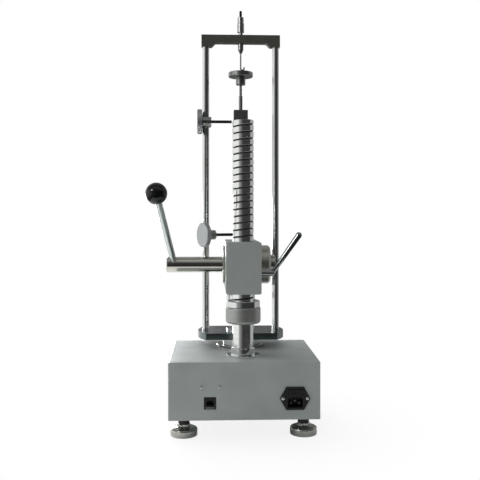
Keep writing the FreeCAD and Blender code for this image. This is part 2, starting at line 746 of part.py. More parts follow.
def build_clamp_lever():
    """Bent lever whose screw clamps the head to the column."""
    at_z = "clamp_z"
    shank = cylinder("clamp_shank", "4", "16", ("18.6", "column_y", at_z), ALONG_X)
    neck = cylinder("clamp_neck", "5", "clamp_bend_x - 30.4", ("30.4", "column_y", at_z), ALONG_X)
    bend = doc.addObject("Part::Sphere", "clamp_bend")
    bend.Radius = 5
    settle(bend, ("clamp_bend_x", "column_y", at_z), None)
    rise = Vector(number("clamp_tip_x - clamp_bend_x"), 0, number("clamp_tip_z - clamp_z"))
    tilt = Rotation(Vector(0, 0, 1), rise)
    arm = doc.addObject("Part::Cone", "clamp_arm")
    arm.Radius1 = 3.9
    arm.Radius2 = 5.3
    arm.Height = rise.Length
    settle(arm, ("clamp_bend_x", "column_y", at_z), tilt)
    tip = doc.addObject("Part::Sphere", "clamp_tip")
    tip.Radius = 5.3
    settle(tip, ("clamp_tip_x", "column_y", "clamp_tip_z"), None)
    place(fuse("clamp_lever", [shank, neck, bend, arm, tip]))


def build_rack():
    """Toothed bar in the head, with the upper platen under it and the stud and disc over it."""
    bar = new_body("rack_bar")
    half_width, half_depth = "rack_width / 2", "rack_depth / 2"
    pad(bar, "XY", [rectangle(f"-{half_width}", half_width, f"-{half_depth}", half_depth)], "rack_low", "rack_high")
    soften(bar, "0.8", lambda edge: along(0)(edge) or along(1)(edge), "Chamfer")
    pocket(bar, "XY", [("0", "0", "4")], "rack_low", "rack_low + 16")
    pocket(bar, "XY", [("0", "0", "3.5")], "rack_high - 12", "rack_high")
    # the first gap lies under the teeth's lowest position on the pinion, in step with its gaps
    pitch = "3.14159265 * gear_module"
    face = f"-{half_depth}"
    slope = "tan(pressure_angle)"
    floor = f"{face} + 2.25 * gear_module"
    half_gap = f"{pitch} / 4 + gear_backlash / 4"
    middle = f"shaft_z - 6 * {pitch}"
    narrow = f"({half_gap} - 1.25 * gear_module * {slope})"
    wide = f"({half_gap} + gear_module * {slope} + 0.5 * {slope})"
    gap = [(f"{face} - 0.5", f"{middle} - {wide}"), (floor, f"{middle} - {narrow}"),
           (floor, f"{middle} + {narrow}"), (f"{face} - 0.5", f"{middle} + {wide}")]
    tooth_gap = pocket(bar, "YZ", [gap], f"-{half_width}", half_width)
    row = bar.newObject("PartDesign::LinearPattern", "rack_teeth")
    row.Originals = [tooth_gap]
    row.Direction = (next(f for f in bar.Origin.OriginFeatures if f.Role == "Z_Axis"), [""])
    bind(row, "Length", f"(rack_teeth - 1) * {pitch}")
    row.Occurrences = int(number("rack_teeth"))
    bar.Tip = row
    doc.recompute()
    place(bar, ("0", "load_y", "0"))

    rim_radius, low = "platen_diameter / 2", "upper_platen_low"
    platen = turned("upper_platen", [
        ("0", low), (f"{rim_radius} - 0.5", low), (rim_radius, f"{low} + 0.5"), (rim_radius, f"{low} + 11.5"),
        (f"{rim_radius} - 0.5", f"{low} + 12"), ("10", f"{low} + 12"), ("10", "rack_low"), ("3.9", "rack_low"),
        ("3.9", "rack_low + 14"), ("0", "rack_low + 14")])
    place(platen, ("0", "load_y", "0"))
    stud = turned("rack_stud", [("0", "rack_high - 11.5"), ("3.48", "rack_high - 11.5"), ("3.48", "589"), ("2.5", "589"),
                                ("2.5", "top_disc_low - 2"), ("0", "top_disc_low - 2")])
    place(stud, ("0", "load_y", "0"))
    edge = "thumb_disc_diameter / 2"
    disc = turned("top_disc", [
        ("2.52", "610"), ("8.4", "610"), ("8.9", "610.5"), ("8.9", "top_disc_low"), (f"{edge} - 0.8", "top_disc_low"),
        (edge, "top_disc_low + 0.8"), (edge, "top_disc_high - 0.8"), (f"{edge} - 0.8", "top_disc_high"),
        ("0", "top_disc_high"), ("0", "top_disc_low - 2"), ("2.52", "top_disc_low - 2")])
    place(disc, ("0", "load_y", "0"))


def build_sockets():
    """Mains inlet with its fuse drawer, and the data port, in the rear wall."""
    inlet = new_body("mains_inlet")
    hexagon = [("-25", "0"), ("-14.5", "-18.65"), ("14.5", "-18.65"), ("25", "0"), ("14.5", "18.65"),
               ("-14.5", "18.65")]
    pad(inlet, "XZ", [hexagon], "-2.6", "0")
    pad(inlet, "XZ", [rectangle("-14", "14", "-16.3", "16.3")], "0", "20")
    recess = [("-12.2", "-15"), ("12.2", "-15"), ("12.2", "-1.5"), ("8.5", "2.2"), ("-8.5", "2.2"), ("-12.2", "-1.5")]
    pocket(inlet, "XZ", [recess], "-2.6", "14")
    pocket(inlet, "XZ", [rectangle("-11.2", "11.2", "5.2", "14.6")], "-2.6", "14")
    pocket(inlet, "XZ", [("-20", "0", "1.6"), ("20", "0", "1.6")], "-2.6", "0")
    at = ("inlet_x", "0", "inlet_z")
    place(inlet, at)
    pins = [box(f"inlet_pin_{i + 1}", ("2", "11.5", "4"), (f"{x} - 1", "2.5", f"{z} - 2"))
            for i, (x, z) in enumerate(((-7, -8.4), (0, -4.4), (7, -8.4)))]
    place(group("inlet_pins", pins), at)
    screws = []
    for i, side in enumerate((-20, 20)):
        head = cylinder(f"inlet_screw_head_{i + 1}", "2.8", "1.6", (f"{side}", "-2.6", "0"), ALONG_REAR)
        shank = cylinder(f"inlet_screw_shank_{i + 1}", "1.5", "9", (f"{side}", "6", "0"), ALONG_REAR)
        screws.append(fuse(f"inlet_screw_{i + 1}", [head, shank]))
    place(group("inlet_screws", screws), at)
    drawer = new_body("fuse_drawer")
    pad(drawer, "XZ", [rectangle("-11", "11", "5.4", "14.4")], "-4", "13.6")
    pocket(drawer, "XZ", [rectangle("-5", "5", "8.6", "11.2")], "-4", "-2.9")
    place(drawer, at)

    port = new_body("data_port")
    half = "port_width / 2 - 0.1"
    pad(port, "XZ", [rectangle(f"-({half})", half, f"-({half})", half)], "-0.6", "16")
    plug_way = [("-5.9", "-5"), ("5.9", "-5"), ("5.9", "2.8"), ("3.2", "2.8"), ("3.2", "4.9"), ("-3.2", "4.9"),
                ("-3.2", "2.8"), ("-5.9", "2.8")]
    pocket(port, "XZ", [plug_way], "-0.6", "13")
    place(port, ("port_x", "0", "port_z"))

    screws = []
    for i, x in enumerate(("-70.6", "-41.5")):
        head = cylinder(f"back_screw_head_{i + 1}", "2.5", "1.6", (x, "0", "85.4"), ALONG_REAR)
        shank = cylinder(f"back_screw_shank_{i + 1}", "1.48", "8", (x, "8", "85.4"), ALONG_REAR)
        screws.append(fuse(f"back_screw_{i + 1}", [head, shank]))
    place(group("back_screws", screws))


def build_panel():
    """Display and membrane keys on the sloping front panel."""
    module = panel_box("display_module", ("69.6", "31.6", "8"), (-97.8, -12.8, -8))
    place(module, module.Placement.Base, module.Placement.Rotation)
    film = panel_box("keypad_film", ("210", "56", "0.5"), (-105, -28, 0))
    opening = panel_box("keypad_window", ("64", "26", "2"), (-95, -10, -0.5))
    keys = [panel_box(f"key_{column}_{line}", ("17", "13", "0.5"), (-12 + column * 27, -17 + line * 20, 0.4))
            for column in range(4) for line in range(2)]
    place(fuse("keypad", [cut("keypad_sheet", film, [opening])] + keys))
    window = panel_box("display_window", ("63.8", "25.8", "0.5"), (-94.9, -9.9, 0))
    place(window, window.Placement.Base, window.Placement.Rotation)


def build_electronics():
    """Boards inside the closed base, on spacers from the floor plate."""
    floor = "base_low + floor_plate"
    for label, x, y, width, depth, parts in (
            ("control_board", -112, 75, 70, 110, ((10, 15, 22, 22, 3), (40, 60, 16, 30, 10), (12, 80, 14, 14, 6))),
            ("power_board", 45, 75, 66, 100, ((10, 12, 40, 36, 34), (14, 62, 18, 18, 20), (42, 66, 14, 20, 12)))):
        board_z = f"{floor} + 8"
        solids = [box(f"{label}_sheet", (width, depth, "1.6"), (x, y, board_z))]
        for i, (dx, dy, w, d, tall) in enumerate(parts):
            solids.append(box(f"{label}_part_{i}", (w, d, tall), (x + dx, y + dy, f"{board_z} + 1.6")))
        for i, (dx, dy) in enumerate(((4, 4), (width - 4, 4), (4, depth - 4), (width - 4, depth - 4))):
            solids.append(cylinder(f"{label}_spacer_{i}", "3", "8", (x + dx, y + dy, floor)))
        place(fuse(label, solids))


build_base()
build_feet()
build_column()
build_load_frame()
build_hook()
build_stop("upper_stop", "upper_stop_z", Rotation(Vector(0, 0, 1), 0))
build_stop("lower_stop", "lower_stop_z", Rotation(Vector(0, 0, 1), number("lower_stop_turn")))
build_head()
build_lever()
build_clamp_lever()
build_rack()
build_sockets()
build_panel()
build_electronics()
doc.recompute()

for thing in doc.Objects:
    if "Invalid" in thing.State or "Error" in thing.State:
        raise RuntimeError(f"{thing.Label} failed: {thing.State}")
for piece in PIECES:
    if piece.Shape.isNull() or not piece.Shape.isValid() or not piece.Shape.Solids:
        raise RuntimeError(f"{piece.Label} has no valid solid")

os.makedirs("parts", exist_ok=True)
for piece in PIECES:
    piece.Shape.exportStep(f"parts/{piece.Label}.step")
print(len(PIECES), "pieces written")
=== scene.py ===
"""Looks of the manual spring tester: finishes, finer forms for some pieces, and the studio.

Lengths are in millimetres in the machine's frame of the row, and turned into metres where a mesh
is made. +X is to the right seen from the rear, +Y from the rear face towards the operator, +Z up.
Places of lamps and camera are in metres.
"""
import math

import bmesh
import bpy
from mathutils import Matrix, Vector


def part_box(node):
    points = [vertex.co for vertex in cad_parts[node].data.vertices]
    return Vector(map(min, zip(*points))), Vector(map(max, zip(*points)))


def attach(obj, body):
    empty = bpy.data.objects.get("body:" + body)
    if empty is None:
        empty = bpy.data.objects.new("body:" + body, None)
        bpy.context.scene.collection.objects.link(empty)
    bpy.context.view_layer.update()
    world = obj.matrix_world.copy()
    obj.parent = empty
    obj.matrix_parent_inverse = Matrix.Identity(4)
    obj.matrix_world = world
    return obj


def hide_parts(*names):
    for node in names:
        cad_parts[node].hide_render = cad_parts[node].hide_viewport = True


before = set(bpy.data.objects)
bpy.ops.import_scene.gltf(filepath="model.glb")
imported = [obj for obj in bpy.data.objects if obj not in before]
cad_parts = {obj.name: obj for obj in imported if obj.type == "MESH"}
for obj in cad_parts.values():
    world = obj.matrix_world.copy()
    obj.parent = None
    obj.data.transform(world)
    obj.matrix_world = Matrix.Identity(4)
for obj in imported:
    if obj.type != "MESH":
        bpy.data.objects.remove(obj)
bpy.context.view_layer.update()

MM = 0.001

# axes of the machine: a point on each, and which way it runs
COLUMN = (18.65, -63.75, 0.0)
LOAD = (18.65, 41.25, 0.0)
SHAFT = (18.65, 15.75, 277.0)
ALONG_X, ALONG_Z = 0, 2

# rear face: its place in Y, the way out of it, and the X and Z of what it carries
REAR_FACE = -118.75
OUT_OF_REAR = (0, -1, 0)
INLET = (101.65, 66.0)
PORT = (-37.85, 59.0)
WALL_SCREWS = ((-51.95, 85.4), (-22.85, 85.4))

# sloping panel: its middle, and its own directions across, up the slope and out of it
PANEL = (18.65, 109.25, 93.0)
PANEL_ACROSS, PANEL_UP, PANEL_OUT = (-1.0, 0.0, 0.0), (0.0, -0.5547, 0.8321), (0.0, 0.8321, 0.5547)

# sockets of a Mix node set to colours: its share of the second, the two colours, and the result
SHARE, FIRST, SECOND, MIXED = 0, 6, 7, 2

# most of a noise pattern lies between the first two values, nearly all of it between the others
LOW, HIGH = 0.35, 0.65
LOWEST, HIGHEST = 0.3, 0.7


def colour(text):
    """sRGB hex value as linear red, green, blue and alpha."""
    levels = [int(text[i:i + 2], 16) / 255 for i in (1, 3, 5)]
    return [v / 12.92 if v <= 0.04045 else ((v + 0.055) / 1.055) ** 2.4 for v in levels] + [1.0]


def add(tree, kind, inputs, out=0, **settings):
    """One shader node with its settings and links.

    It gives back one of the node's outputs, or the node itself where out is None.
    """
    node = tree.nodes.new("ShaderNode" + kind)
    for name, value in settings.items():
        setattr(node, name, value)
    for name, value in inputs.items():
        if isinstance(value, bpy.types.NodeSocket):
            tree.links.new(value, node.inputs[name])
        else:
            node.inputs[name].default_value = value
    return node.outputs[out] if out is not None else node


def start(name, **levels):
    """A new material: its tree, its shader at given levels, and the place on the piece in mm."""
    material = bpy.data.materials.new(name)
    material.use_nodes = True
    tree = material.node_tree
    shader = tree.nodes["Principled BSDF"]
    for socket, value in levels.items():
        shader.inputs[socket.replace("_", " ")].default_value = value
    place = add(tree, "TexCoord", {}, "Object")
    place = add(tree, "VectorMath", {0: place, "Scale": 1 / MM}, operation="SCALE")
    return material, tree, shader, place


def finish(tree, shader, patterns):
    """Link patterns to the shader's sockets."""
    for socket, pattern in patterns.items():
        tree.links.new(pattern, shader.inputs[socket])


def baked_enamel(name, base, worn):
    """Baked enamel on sheet or casting: even colour, a fine pebbled skin, faint handling marks."""
    cloud_mm, handling_mm, pebble_mm, pebble_height = 60, 25, 1.6, 0.05 * MM
    material, tree, shader, place = start(name, Specular_IOR_Level=0.45)
    cloud = add(tree, "TexNoise", {"Vector": place, "Scale": 1 / cloud_mm})
    cloud = add(tree, "MapRange", {"Value": cloud, "From Min": LOW, "From Max": HIGH})
    handled = add(tree, "TexNoise", {"Vector": place, "Scale": 1 / handling_mm, "Detail": 4.0})
    pebbles = add(tree, "TexNoise", {"Vector": place, "Scale": 1 / pebble_mm, "Detail": 3.0})
    finish(tree, shader, {
        "Base Color": add(tree, "Mix", {SHARE: cloud, FIRST: colour(base), SECOND: colour(worn)},
                          MIXED, data_type="RGBA"),
        "Roughness": add(tree, "MapRange", {"Value": handled, "From Min": LOWEST,
                                            "From Max": HIGHEST, "To Min": 0.34, "To Max": 0.46}),
        "Normal": add(tree, "Bump", {"Height": pebbles, "Distance": pebble_height,
                                     "Strength": 0.5})})
    return material


def hard_chrome(name, base="#e2e4e3", hazy="#dadcda", roughness=0.06):
    """Hard chrome over ground steel: a near mirror with the faintest haze, in soft clouds."""
    cloud_mm, haze_mm = 40, 18
    material, tree, shader, place = start(name, Metallic=1.0)
    cloud = add(tree, "TexNoise", {"Vector": place, "Scale": 1 / cloud_mm})
    cloud = add(tree, "MapRange", {"Value": cloud, "From Min": LOW, "From Max": HIGH})
    haze = add(tree, "TexNoise", {"Vector": place, "Scale": 1 / haze_mm, "Detail": 3.0})
    finish(tree, shader, {
        "Base Color": add(tree, "Mix", {SHARE: cloud, FIRST: colour(base), SECOND: colour(hazy)},
                          MIXED, data_type="RGBA"),
        "Roughness": add(tree, "MapRange", {"Value": haze, "From Min": LOW, "From Max": HIGHEST,
                                            "To Min": roughness, "To Max": roughness + 0.04})})
    return material


def worn_plating(name, base, worn):
    """Nickel or zinc plate: bright where it is whole, duller and yellower where it has worn."""
    wear_mm = 7
    material, tree, shader, place = start(name, Metallic=1.0)
    wear = add(tree, "TexNoise", {"Vector": place, "Scale": 1 / wear_mm, "Detail": 3.0})
    wear = add(tree, "MapRange", {"Value": wear, "From Min": LOW, "From Max": HIGHEST})
    finish(tree, shader, {
        "Base Color": add(tree, "Mix", {SHARE: wear, FIRST: colour(base), SECOND: colour(worn)},
                          MIXED, data_type="RGBA"),
        "Roughness": add(tree, "MapRange", {"Value": wear, "To Min": 0.12, "To Max": 0.2})})
    return material


def turned_steel(name, axis, along, base, dull, roughness, groove_mm=0.9, groove_shade_below_mm=0.0):
    """Steel turned on a lathe: fine rings about the piece's axis, which draw the light out.

    Real feed marks are 0.1 mm apart; groove_mm is coarser, so that they still show. Nearer to the
    axis than the given groove radius, in a groove, painted shade makes the metal darker and duller.
    """
    groove_shade_fade_mm, ring_height = 0.25, 0.01 * MM
    material, tree, shader, place = start(name, Metallic=1.0)
    offset = add(tree, "VectorMath", {0: place, 1: axis}, operation="SUBTRACT")
    split = add(tree, "SeparateXYZ", {0: offset}, None).outputs
    across = [split[i] for i in (0, 1, 2) if i != along]
    flat = add(tree, "CombineXYZ", {0: across[0], 1: across[1]})
    radius = add(tree, "VectorMath", {0: flat}, "Value", operation="LENGTH")
    rings = add(tree, "CombineXYZ", {0: radius, 1: split[along]})
    marks = add(tree, "TexNoise", {"Vector": rings, "Scale": 1 / groove_mm, "Detail": 3.0})
    dullness = add(tree, "MapRange", {"Value": marks, "From Min": LOW, "From Max": HIGH})
    shade = add(tree, "Mix", {SHARE: dullness, FIRST: colour(base), SECOND: colour(dull)},
                MIXED, data_type="RGBA")
    gloss = add(tree, "MapRange", {"Value": marks, "From Min": LOWEST, "From Max": HIGHEST,
                                   "To Min": roughness - 0.04, "To Max": roughness + 0.06})
    # painted shade in the groove: a darker colour and a duller gloss nearer the axis than a radius
    if groove_shade_below_mm:
        groove_shade = add(tree, "MapRange", {"Value": radius, "From Min": groove_shade_below_mm - groove_shade_fade_mm,
                                       "From Max": groove_shade_below_mm, "To Min": 1.0, "To Max": 0.0})
        shade = add(tree, "Mix", {SHARE: groove_shade, FIRST: shade, SECOND: colour("#6f706c")},
                    MIXED, data_type="RGBA")
        gloss = add(tree, "Math", {0: groove_shade, 1: 0.3, 2: gloss}, operation="MULTIPLY_ADD")
    finish(tree, shader, {
        "Base Color": shade, "Roughness": gloss,
        "Normal": add(tree, "Bump", {"Height": marks, "Distance": ring_height, "Strength": 0.2})})
    return material


def ground_steel(name, base, dull, roughness):
    """Ground steel: straight fine scratches across the machine, drawn coarser than real ones."""
    scratch_mm, drawn_out, scratch_height = 0.8, (0.04, 1.0, 1.0), 0.015 * MM
    material, tree, shader, place = start(name, Metallic=1.0)
    drawn = add(tree, "VectorMath", {0: place, 1: drawn_out}, operation="MULTIPLY")
    scratches = add(tree, "TexNoise", {"Vector": drawn, "Scale": 1 / scratch_mm, "Detail": 3.0})
    dullness = add(tree, "MapRange", {"Value": scratches, "From Min": LOW, "From Max": HIGH})
    finish(tree, shader, {
        "Base Color": add(tree, "Mix", {SHARE: dullness, FIRST: colour(base), SECOND: colour(dull)},
                          MIXED, data_type="RGBA"),
        "Roughness": add(tree, "MapRange", {"Value": scratches, "From Min": LOWEST,
                                            "From Max": HIGHEST, "To Min": roughness - 0.05,
                                            "To Max": roughness + 0.08}),
        "Normal": add(tree, "Bump", {"Height": scratches, "Distance": scratch_height,
                                     "Strength": 0.3})})
    return material


def black_oxide(name, base, rubbed):
    """Black oxide on steel: dark, slightly brown where handled, with a soft oily gloss."""
    rub_mm, skin_mm, skin_height = 5, 0.7, 0.02 * MM
    material, tree, shader, place = start(name, Metallic=0.6, Roughness=0.38)
    rub = add(tree, "TexNoise", {"Vector": place, "Scale": 1 / rub_mm, "Detail": 3.0})
    rub = add(tree, "MapRange", {"Value": rub, "From Min": 0.45, "From Max": HIGHEST})
    skin = add(tree, "TexNoise", {"Vector": place, "Scale": 1 / skin_mm})
    finish(tree, shader, {
        "Base Color": add(tree, "Mix", {SHARE: rub, FIRST: colour(base), SECOND: colour(rubbed)},
                          MIXED, data_type="RGBA"),
        "Normal": add(tree, "Bump", {"Height": skin, "Distance": skin_height, "Strength": 0.4})})
    return material


def polished_phenolic(name, base, dulled):
    """Phenolic knob: deep black and polished to a wet gloss, with a few soft scuffs."""
    scuff_mm, wave_mm, wave_height = 7, 9, 0.05 * MM
    material, tree, shader, place = start(name, Specular_IOR_Level=0.4)
    scuffs = add(tree, "TexNoise", {"Vector": place, "Scale": 1 / scuff_mm, "Detail": 4.0})
    scuffs = add(tree, "MapRange", {"Value": scuffs, "From Min": 0.4, "From Max": 0.75})
    waves = add(tree, "TexNoise", {"Vector": place, "Scale": 1 / wave_mm})
    finish(tree, shader, {
        "Base Color": add(tree, "Mix", {SHARE: scuffs, FIRST: colour(base), SECOND: colour(dulled)},
                          MIXED, data_type="RGBA"),
        "Roughness": add(tree, "MapRange", {"Value": scuffs, "To Min": 0.08, "To Max": 0.2}),
        "Normal": add(tree, "Bump", {"Height": waves, "Distance": wave_height, "Strength": 0.15})})
    return material


def moulded_polyamide(name, base, worn, roughness):
    """Moulded polyamide: a fine spark-eroded grain breaks up its gloss."""
    cloud_mm, grain_mm, grain_height = 12, 0.9, 0.03 * MM
    material, tree, shader, place = start(name, Specular_IOR_Level=0.35)
    cloud = add(tree, "TexNoise", {"Vector": place, "Scale": 1 / cloud_mm})
    cloud = add(tree, "MapRange", {"Value": cloud, "From Min": LOW, "From Max": HIGH})
    grain = add(tree, "TexNoise", {"Vector": place, "Scale": 1 / grain_mm})
    finish(tree, shader, {
        "Base Color": add(tree, "Mix", {SHARE: cloud, FIRST: colour(base), SECOND: colour(worn)},
                          MIXED, data_type="RGBA"),
        "Roughness": add(tree, "MapRange", {"Value": grain, "From Min": LOWEST,
                                            "From Max": HIGHEST, "To Min": roughness - 0.08,
                                            "To Max": roughness + 0.1}),
        "Normal": add(tree, "Bump", {"Height": grain, "Distance": grain_height, "Strength": 0.5})})
    return material


def blued_spring_steel(name, blue, straw):
    """Spring strip, blued by tempering: dark steel with a blue cast that wanders along it."""
    cast_mm = 9
    material, tree, shader, place = start(name, Metallic=1.0, Roughness=0.3)
    cast = add(tree, "TexNoise", {"Vector": place, "Scale": 1 / cast_mm})
    cast = add(tree, "MapRange", {"Value": cast, "From Min": LOW, "From Max": HIGH})
    finish(tree, shader, {
        "Base Color": add(tree, "Mix", {SHARE: cast, FIRST: colour(blue), SECOND: colour(straw)},
                          MIXED, data_type="RGBA")})
    return material


def solder_mask(name, base, weave):
    """Fibreglass circuit board under green solder mask: glossy, with its weave just showing."""
    weave_mm = 1.7
    material, tree, shader, place = start(name, Roughness=0.3)
    cloth = add(tree, "TexChecker", {"Vector": place, "Scale": 1 / weave_mm}, 1)
    cloth = add(tree, "MapRange", {"Value": cloth, "To Min": 0.2, "To Max": 0.5})
    finish(tree, shader, {
        "Base Color": add(tree, "Mix", {SHARE: cloth, FIRST: colour(base), SECOND: colour(weave)},
                          MIXED, data_type="RGBA")})
    return material


def key_film(name, base, faded):
    """Printed polyester film over the keys: satin blue-grey with a fine matt texture."""
    cloud_mm, texture_mm, texture_height = 30, 0.9, 0.02 * MM
    material, tree, shader, place = start(name)
    cloud = add(tree, "TexNoise", {"Vector": place, "Scale": 1 / cloud_mm})
    cloud = add(tree, "MapRange", {"Value": cloud, "From Min": LOW, "From Max": HIGH})
    texture = add(tree, "TexNoise", {"Vector": place, "Scale": 1 / texture_mm})
    finish(tree, shader, {
        "Base Color": add(tree, "Mix", {SHARE: cloud, FIRST: colour(base), SECOND: colour(faded)},
                          MIXED, data_type="RGBA"),
        "Roughness": add(tree, "MapRange", {"Value": texture, "From Min": LOWEST,
                                            "From Max": HIGHEST, "To Min": 0.34, "To Max": 0.5}),
        "Normal": add(tree, "Bump", {"Height": texture, "Distance": texture_height,
                                     "Strength": 0.4})})
    return material


def display_acrylic(name, base, deep):
    """Tinted acrylic window over the display: grey-green, polished."""
    cloud_mm = 40
    material, tree, shader, place = start(name, Roughness=0.08, Specular_IOR_Level=0.6)
    cloud = add(tree, "TexNoise", {"Vector": place, "Scale": 1 / cloud_mm})
    cloud = add(tree, "MapRange", {"Value": cloud, "From Min": LOW, "From Max": HIGH})
    finish(tree, shader, {
        "Base Color": add(tree, "Mix", {SHARE: cloud, FIRST: colour(base), SECOND: colour(deep)},
                          MIXED, data_type="RGBA")})
    return material


def pale_table(name, base, shaded):
    """Pale matt table. To the camera it fades into the white backdrop a little way off."""
    mottle_mm, fade_from_mm, fade_to_mm, least_fade = 90, 120.0, 400.0, 0.86
    material, tree, shader, place = start(name, Roughness=0.6)
    mottle = add(tree, "TexNoise", {"Vector": place, "Scale": 1 / mottle_mm})
    mottle = add(tree, "MapRange", {"Value": mottle, "From Min": LOWEST, "From Max": HIGHEST})
    finish(tree, shader, {
        "Base Color": add(tree, "Mix", {SHARE: mottle, FIRST: colour(base), SECOND: colour(shaded)},
                          MIXED, data_type="RGBA")})
    away = add(tree, "VectorMath", {0: place}, "Value", operation="LENGTH")
    away = add(tree, "MapRange", {"Value": away, "From Min": fade_from_mm, "From Max": fade_to_mm,
                                  "To Min": least_fade}, interpolation_type="SMOOTHSTEP")
    seen = add(tree, "LightPath", {}, "Is Camera Ray")
    away = add(tree, "Math", {0: away, 1: seen}, operation="MULTIPLY")
    backdrop = add(tree, "Emission", {"Color": (1, 1, 1, 1), "Strength": 1.0})
    fade = add(tree, "MixShader", {0: away, 1: shader.outputs[0], 2: backdrop})
    tree.links.new(fade, tree.nodes["Material Output"].inputs["Surface"])
    return material


grey_enamel = baked_enamel("baked_enamel_grey", "#9ba19f", "#949a98")
head_enamel = baked_enamel("baked_enamel_head", "#989d9b", "#929794")
olive_enamel = baked_enamel("baked_enamel_dark_olive", "#4a4b43", "#43443d")

chrome = hard_chrome("hard_chrome")
# the two levers' chrome is darker than the rest: painted shade, so that the lamps' reflections
# don't wash them out
shaded_lever_chrome = hard_chrome("hard_chrome_hand_lever", "#c2c8c7", "#b8bebd", roughness=0.16)
shaded_clamp_chrome = hard_chrome("hard_chrome_clamp_lever", "#9ea3a2", "#949998", roughness=0.1)
rod_chrome = hard_chrome("hard_chrome_rods", roughness=0.1)
shaft_chrome = hard_chrome("hard_chrome_shaft", "#cbcac2", "#c0bfb7", roughness=0.09)

# the column is 18 mm in radius, so the painted shade darkens its helical groove only
column_chrome = turned_steel("chromed_column", COLUMN, ALONG_Z, "#eceeec", "#e2e4e2",
                             roughness=0.12, groove_mm=2.5, groove_shade_below_mm=17.9)
nut_steel = turned_steel("satin_steel_nut", COLUMN, ALONG_Z, "#acaeab", "#a4a6a3", roughness=0.44)
load_steel = turned_steel("turned_steel_load_axis", LOAD, ALONG_Z, "#949794", "#828582",
                          roughness=0.3)
hook_steel = turned_steel("drawn_steel_hook", LOAD, ALONG_Z, "#b6b9b6", "#a0a3a0", roughness=0.26)
shaft_steel = turned_steel("turned_steel_shaft_axis", SHAFT, ALONG_X, "#b3b3ad", "#9b9b95",
                           roughness=0.18)
thumb_steel = turned_steel("satin_steel_thumb_screw", SHAFT, ALONG_X, "#b4b7b9", "#aaadaf",
                           roughness=0.44)
housing_steel = turned_steel("satin_steel_housing", SHAFT, ALONG_X, "#bab9b1", "#a9a8a0",
                             roughness=0.34)

plate_steel = ground_steel("ground_steel_plate", "#7c8586", "#6b7475", roughness=0.2)
bar_steel = ground_steel("ground_steel_bar", "#a4a6a3", "#888a87", roughness=0.3)
bright_zinc = worn_plating("bright_zinc", "#d8dad9", "#c4c6c5")
foot_nickel = worn_plating("worn_nickel", "#b2b4af", "#a2a29b")
# the inlet's pins: their dark, dull colour is painted shade of the recess they stand in
shaded_pin_metal = worn_plating("tarnished_contacts", "#77746c", "#5d5a52")
black_steel = black_oxide("black_oxide_steel", "#232322", "#34322f")
spring_steel = blued_spring_steel("blued_spring_steel", "#39445a", "#4a4650")

phenolic = polished_phenolic("polished_phenolic", "#0d0e10", "#131416")
polyamide = moulded_polyamide("moulded_polyamide_black", "#0d0d0f", "#151517", roughness=0.45)
cap_polyamide = moulded_polyamide("moulded_key_caps", "#aeb4b8", "#a4aaae", roughness=0.5)
keypad_film = key_film("key_film", "#44505c", "#4c5864")
window_acrylic = display_acrylic("display_acrylic", "#4f5b4a", "#5b6756")
board_mask = solder_mask("solder_mask", "#14502d", "#1b6238")
table_white = pale_table("pale_table", "#fbfbfa", "#f7f7f6")

FINISHES = {
    grey_enamel: ["base_cover", "base_plate"],
    head_enamel: ["head_arm"],
    olive_enamel: ["crossbar"],
    shaft_chrome: ["drive_shaft"],
    rod_chrome: ["left_rod", "right_rod"],
    shaded_lever_chrome: ["hand_lever"],
    shaded_clamp_chrome: ["clamp_lever"],
    chrome: ["thrust_ring", "load_post", "column_flange", "upper_platen", "lower_platen"],
    column_chrome: ["column"],
    nut_steel: ["ring_nut"],
    load_steel: ["post_collar", "top_disc", "rack_stud", "hook_wire"],
    housing_steel: ["spring_housing", "shaft_flange"],
    shaft_steel: ["hub_nut", "left_bush", "right_bush", "pinion"],
    thumb_steel: ["upper_stop_thumb_screw", "lower_stop_thumb_screw"],
    plate_steel: ["lower_plate"],
    bar_steel: ["load_cell", "load_cell_bracket", "rack_bar",
                "upper_stop_clamp", "lower_stop_clamp"],
    hook_steel: ["hook_sleeve", "hook_nut", "hook_chuck"],
    black_steel: ["upper_stop_arm", "lower_stop_arm"],
    phenolic: ["ball_knob"],
    polyamide: ["mains_inlet", "fuse_drawer", "data_port", "display_module"],
    keypad_film: ["keypad"],
    window_acrylic: ["display_window"],
    spring_steel: ["return_spring"],
    board_mask: ["control_board", "power_board"],
}


def dress_nodes():
    """Give every piece from the model its finish."""
    for material, names in FINISHES.items():
        for name in names:
            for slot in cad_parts[name].material_slots:
                slot.material = material


def corners(count):
    """Outline of a regular polygon, as a share of the radius of its corners."""
    half = math.pi / count
    return lambda angle, height: math.cos(half) / math.cos(angle % (2 * half) - half)


def cross(arm, width):
    """Outline of a cross recess with arms of a length and width in mm, where the radius is 1 mm."""
    def reach(angle, height):
        aside = (angle + math.pi / 4) % (math.pi / 2) - math.pi / 4
        if abs(math.tan(aside)) * arm < width / 2:
            return arm / math.cos(aside)
        return width / 2 / abs(math.sin(aside))
    return reach


def thread(pitch, depth):
    """Outline of a screw thread, as a share of its crests' radius; its depth is such a share."""
    def reach(angle, height):
        along = (height / pitch - angle / (2 * math.pi)) % 1.0
        return 1.0 - depth * abs(2 * along - 1)
    return reach


def add_round(form, rows, at, up=(0, 0, 1), around=48):
    """Adds a closed turned solid to a form, from rows of height and radius in mm along an axis.

    A third entry of a row is its outline, a function that gives a share of the radius at an angle.
    """
    lie = Vector(up).to_track_quat("Z", "Y").to_matrix().to_4x4()
    turn = Matrix.Translation(Vector(at)) @ lie
    rings = []
    for height, radius, *outline in rows:
        ring = []
        for i in range(around):
            angle = 2 * math.pi * i / around
            reach = radius * (outline[0](angle, height) if outline else 1.0)
            spot = turn @ Vector((reach * math.cos(angle), reach * math.sin(angle), height))
            ring.append(form.verts.new(spot * MM))
        rings.append(ring)
    for low, high in zip(rings, rings[1:]):
        for i in range(around):
            form.faces.new((low[i - 1], low[i], high[i], high[i - 1]))
    form.faces.new(reversed(rings[0]))
    form.faces.new(rings[-1])


